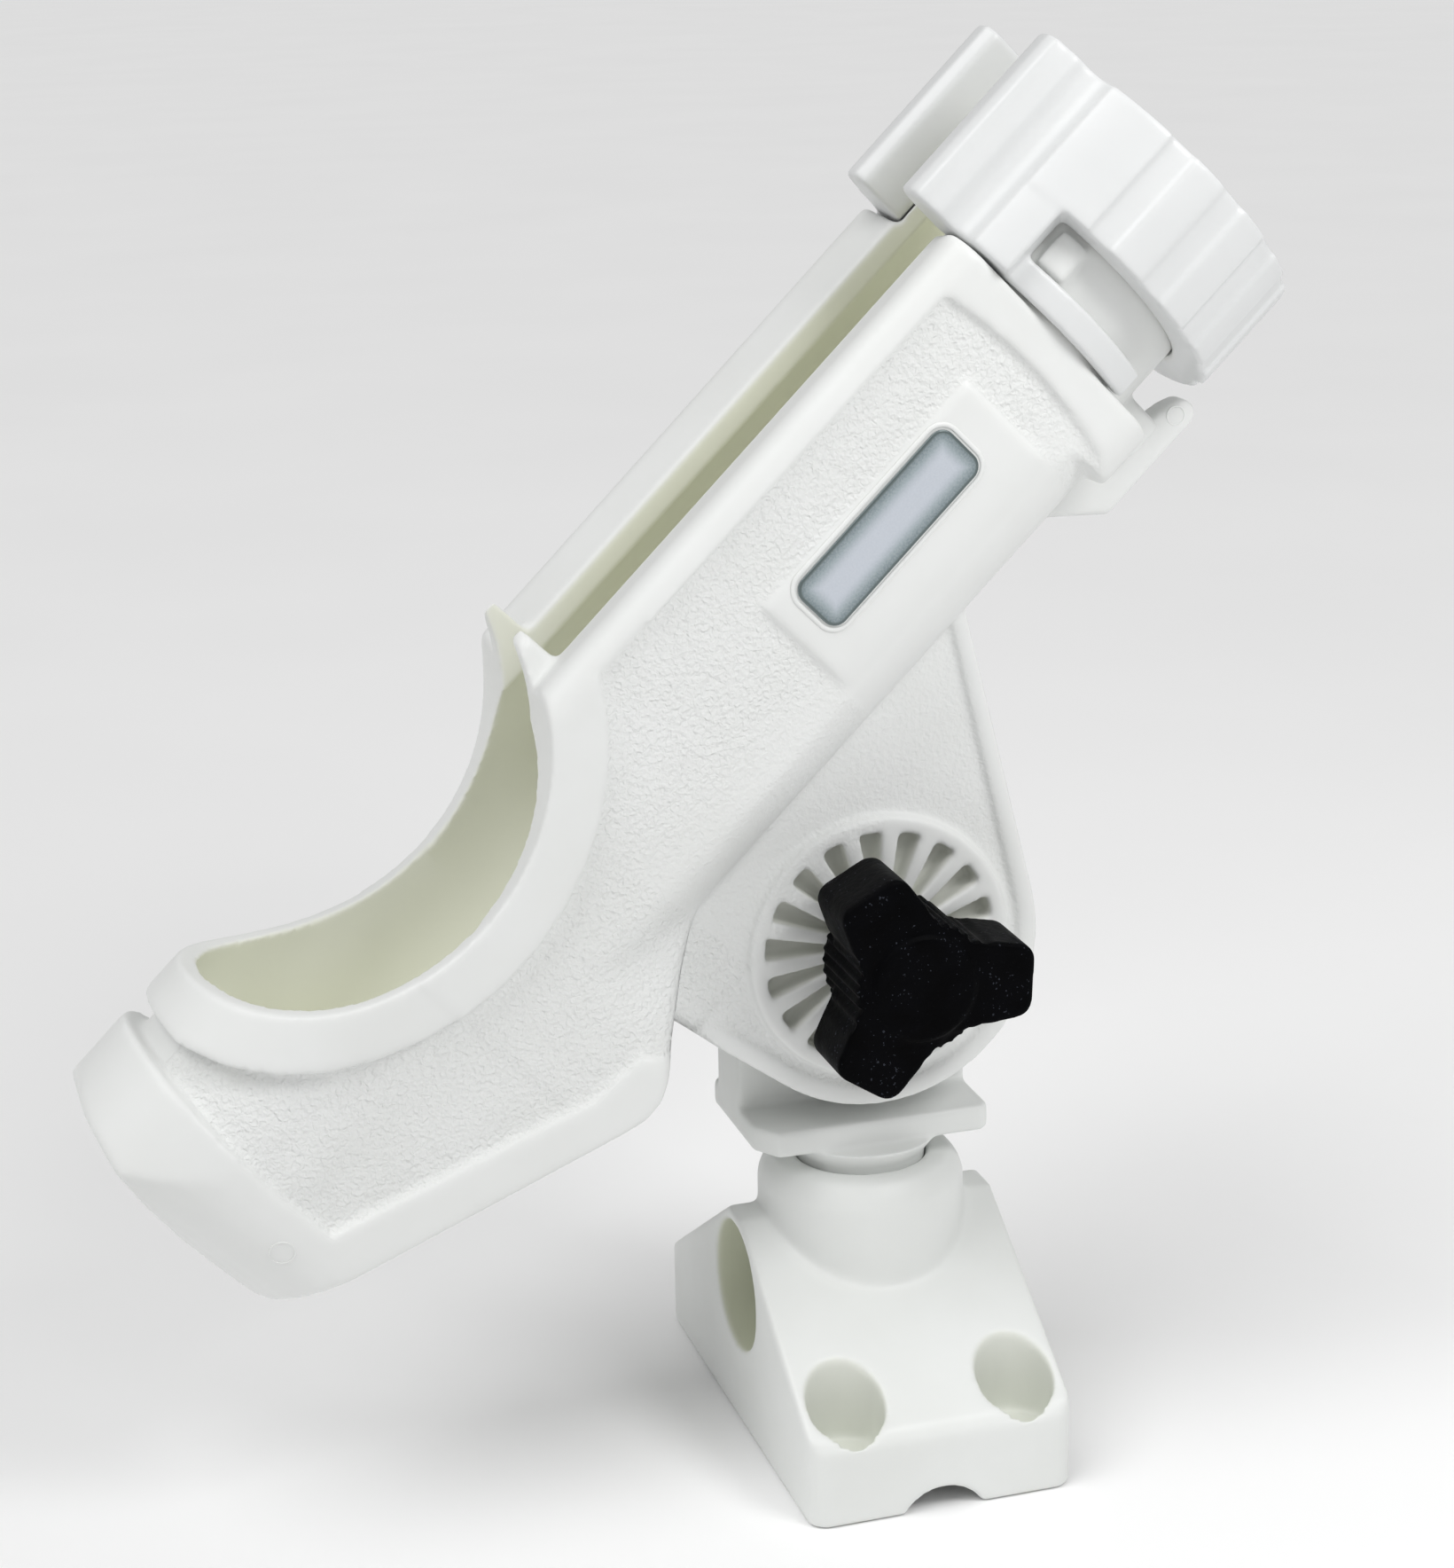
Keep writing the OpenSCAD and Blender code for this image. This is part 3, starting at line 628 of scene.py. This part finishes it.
def build_knob(plastic):
    """The knob, with ribs cut along the three flanks between its lobes."""
    skin = Surface("clamp_knob", CLUTCH, 0.36)
    skin.smooth(9)
    x, y, z = skin.co.T
    angle = np.degrees(np.arctan2(z, x)) % 360
    radius = np.hypot(x, z)
    normal = skin.normals()
    outward = (normal[:, 0] * x + normal[:, 2] * z) / radius.clip(1)
    ribs = np.zeros(len(x))
    for lobe in KNOB_LOBES:
        flank = (lobe + 60) % 360
        off = (angle - flank + 180) % 360 - 180
        wave = 0.5 - 0.5 * np.cos(np.radians(off) * 360 / RIB_PITCH)
        ribs += wave * (1 - step(np.abs(off), *RIB_SPAN))
    front = y.min()
    ribs *= step(outward, 0.3, 0.7) * (radius > 9) * step(y, front + 0.6, front + 1.4)
    pull = RIB_DEPTH * ribs / radius.clip(1)
    skin.co[:, 0] -= pull * x
    skin.co[:, 2] -= pull * z
    skin.smooth(1)
    return skin.finish("knob", plastic, "clamp_knob", "knob")


def build_badge(film, side, node):
    """A plain plate with round corners, and a dark line round it."""
    skin = Surface(node, CRADLE, 0.2)
    skin.smooth(3)
    u, y, v = skin.co.T
    across = np.abs(u - BADGE[0]) - (BADGE[2] / 2 - BADGE_CORNER)
    up = np.abs(v - BADGE[1]) - (BADGE[3] / 2 - BADGE_CORNER)
    past_corner = np.hypot(across.clip(0), up.clip(0))
    to_edge = BADGE_CORNER - past_corner - np.minimum(np.maximum(across, up), 0)
    # Painted sheen: how near the middle each point lies, for the film's lighter middle and darker edge.
    skin.masks["middle"] = step(to_edge, 0.0, 4.6)
    skin.masks["line"] = 1 - step(np.abs(to_edge - 0.35), 0.15, 0.4)
    return skin.finish("badge_" + side, film, node, "cradle")


def build_steel(steel):
    """The bolt, its washer and the nut in the knob."""
    for name, node, voxel, rounds, body in (
        ("bolt", "pivot_bolt", 0.3, 5, "post"),
        ("washer", "pivot_washer", 0.22, 3, "post"),
        ("nut", "knob_nut", 0.3, 3, "knob"),
    ):
        skin = Surface(node, CLUTCH, voxel)
        skin.smooth(rounds)
        skin.finish(name, steel, node, body)


add_camera()
cradle_plastic = moulded_plastic("cradle_plastic", (0.78, 0.79, 0.775), (0.81, 0.82, 0.81),
                                 (0.86, 0.87, 0.745), 0.42, True)
ring_plastic = moulded_plastic("ring_plastic", (0.71, 0.72, 0.72), (0.74, 0.75, 0.75),
                               (0.70, 0.70, 0.62), 0.3, False)
mount_plastic = moulded_plastic("mount_plastic", (0.77, 0.785, 0.765), (0.805, 0.82, 0.805),
                                (0.70, 0.72, 0.58), 0.4, False)
steel = brushed_steel()
build_cradle(cradle_plastic)
build_badge_rims(cradle_plastic)
build_pin_marks(cradle_plastic)
build_ring(ring_plastic)
build_mount(mount_plastic)
build_post(mount_plastic)
build_knob(knob_plastic())
film = badge_film()
build_badge(film, "near", "near_badge")
build_badge(film, "far", "far_badge")
build_steel(steel)
add_stage()
